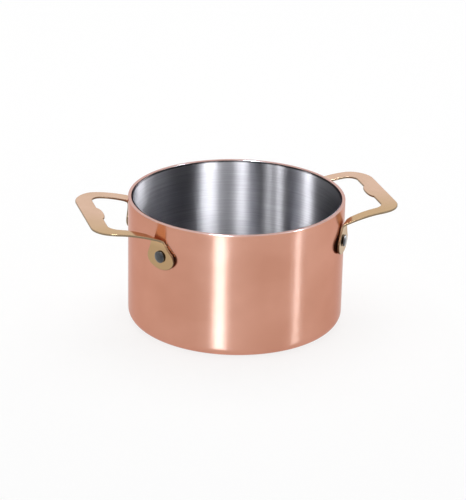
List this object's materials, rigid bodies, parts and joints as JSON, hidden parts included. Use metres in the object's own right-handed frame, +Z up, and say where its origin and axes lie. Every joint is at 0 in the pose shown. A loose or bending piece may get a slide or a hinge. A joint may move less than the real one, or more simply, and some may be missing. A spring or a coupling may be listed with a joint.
{
  "type": "cocotte",
  "caption": "Small straight-sided copper cocotte with a brushed steel lining, a rounded base corner and bent brass plate handles riveted to the wall.",
  "frame": {"origin": "centre of the flat base, on the surface that the pot stands on", "axes": "+Z up along the axis of the pot, +X through the right handle, -Y towards the front"},
  "size_m": [0.1444, 0.1, 0.0593],
  "materials": {
    "copper": "polished copper with a faint turned grain",
    "lining": "stainless steel brushed round the axis",
    "handle": "satin polished brass",
    "rivet": "polished steel"
  },
  "bodies": {
    "root": {"copper_shell": "copper", "steel_lining": "lining", "left_handle": "handle", "right_handle": "handle", "rivet_left_front": "rivet", "rivet_left_back": "rivet", "rivet_right_front": "rivet", "rivet_right_back": "rivet"}
  },
  "joints": []
}
